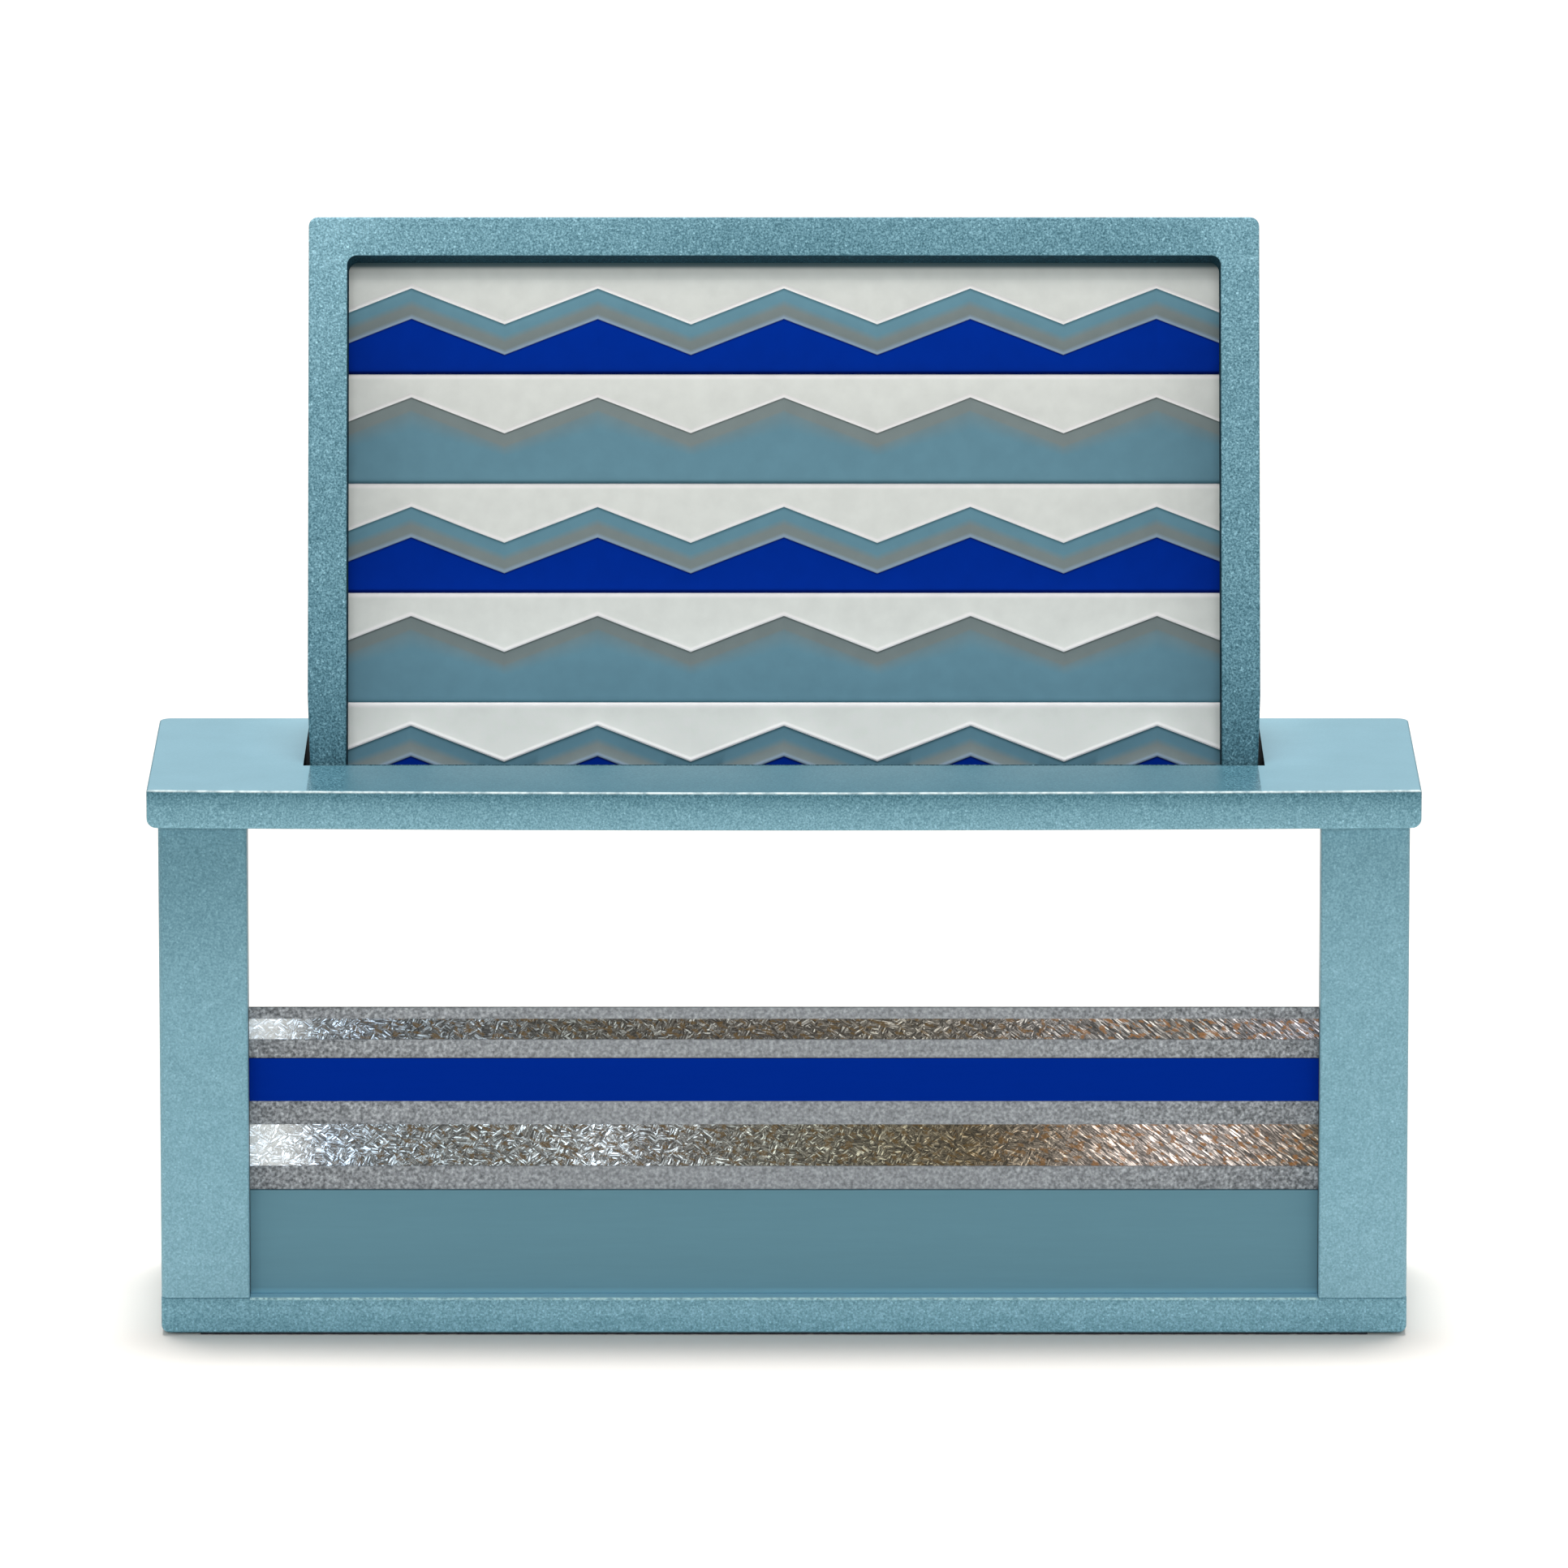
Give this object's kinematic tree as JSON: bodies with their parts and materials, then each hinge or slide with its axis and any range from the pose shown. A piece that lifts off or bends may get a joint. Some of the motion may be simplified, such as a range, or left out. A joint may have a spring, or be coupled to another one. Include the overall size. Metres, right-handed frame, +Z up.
{
  "type": "two-tier washboard",
  "caption": "Wooden washboard: a framed zigzag rub panel leans back in the notched shelf of a low stand with a striped splash panel.",
  "frame": {"origin": "middle of the whole footprint, on the surface that the stand rests on", "axes": "+X to the right seen from the front, +Y to the back, +Z up"},
  "size_m": [0.4014, 0.1246, 0.3449],
  "materials": {
    "frame_enamel": "metallic teal-blue enamel with a fine sparkle, over wood",
    "carcass_enamel": "metallic teal-blue enamel with a fine sparkle, over wood",
    "shelf_enamel": "paler, glossy metallic teal-blue enamel over wood",
    "rub_sheet": "enamelled pressed sheet: white, teal, taupe and deep blue",
    "granular_grey": "gritty grey coating on a thin strip",
    "crackled_silver": "crumpled silver leaf with brown tarnish",
    "blue_enamel": "deep blue satin enamel on a thin strip",
    "teal_lacquer": "flat grey-teal paint",
    "bare_pine": "planed bare softwood",
    "undercoat": "matt, near-black teal undercoat over wood",
    "hardboard": "smooth brown hardboard",
    "beech_dowel": "beech",
    "felt": "dark wool felt",
    "screw_brass": "brass",
    "bright_steel": "bright steel"
  },
  "bodies": {
    "stand": {"blue_strip": "blue_enamel", "bottom_board": "carcass_enamel", "bottom_screws": "screw_brass", "bracket_screws": "screw_brass", "crackle_strip_1": "crackled_silver", "crackle_strip_2": "crackled_silver", "felt_strip_front": "felt", "felt_strip_rear": "felt", "grey_strip_1": "granular_grey", "grey_strip_2": "granular_grey", "grey_strip_3": "granular_grey", "grey_strip_4": "granular_grey", "left_post": "carcass_enamel", "left_side_board": "carcass_enamel", "rest_bracket_left": "bare_pine", "rest_bracket_right": "bare_pine", "rest_rail": "bare_pine", "rest_rail_screws": "screw_brass", "right_post": "carcass_enamel", "right_side_board": "carcass_enamel", "shelf_board": "shelf_enamel", "shelf_dowels": "beech_dowel", "slot_floor": "undercoat", "slot_floor_screws": "screw_brass", "stripe_backing_board": "hardboard", "stripe_board_nails": "bright_steel", "teal_strip": "teal_lacquer"},
    "rub_frame": {"frame_left_stile": "frame_enamel", "frame_right_stile": "frame_enamel", "frame_top_rail": "frame_enamel", "frame_bottom_rail": "frame_enamel", "rub_sheet": "rub_sheet", "sheet_backing_board": "hardboard", "frame_mitre_dowels": "beech_dowel", "bottom_rail_dowels": "beech_dowel"}
  },
  "joints": [
    {"name": "rub_frame_lift", "type": "slide", "parent": "stand", "child": "rub_frame", "axis": [0, 0.2756, 0.9613], "range_m": [0, 0.06]}
  ]
}
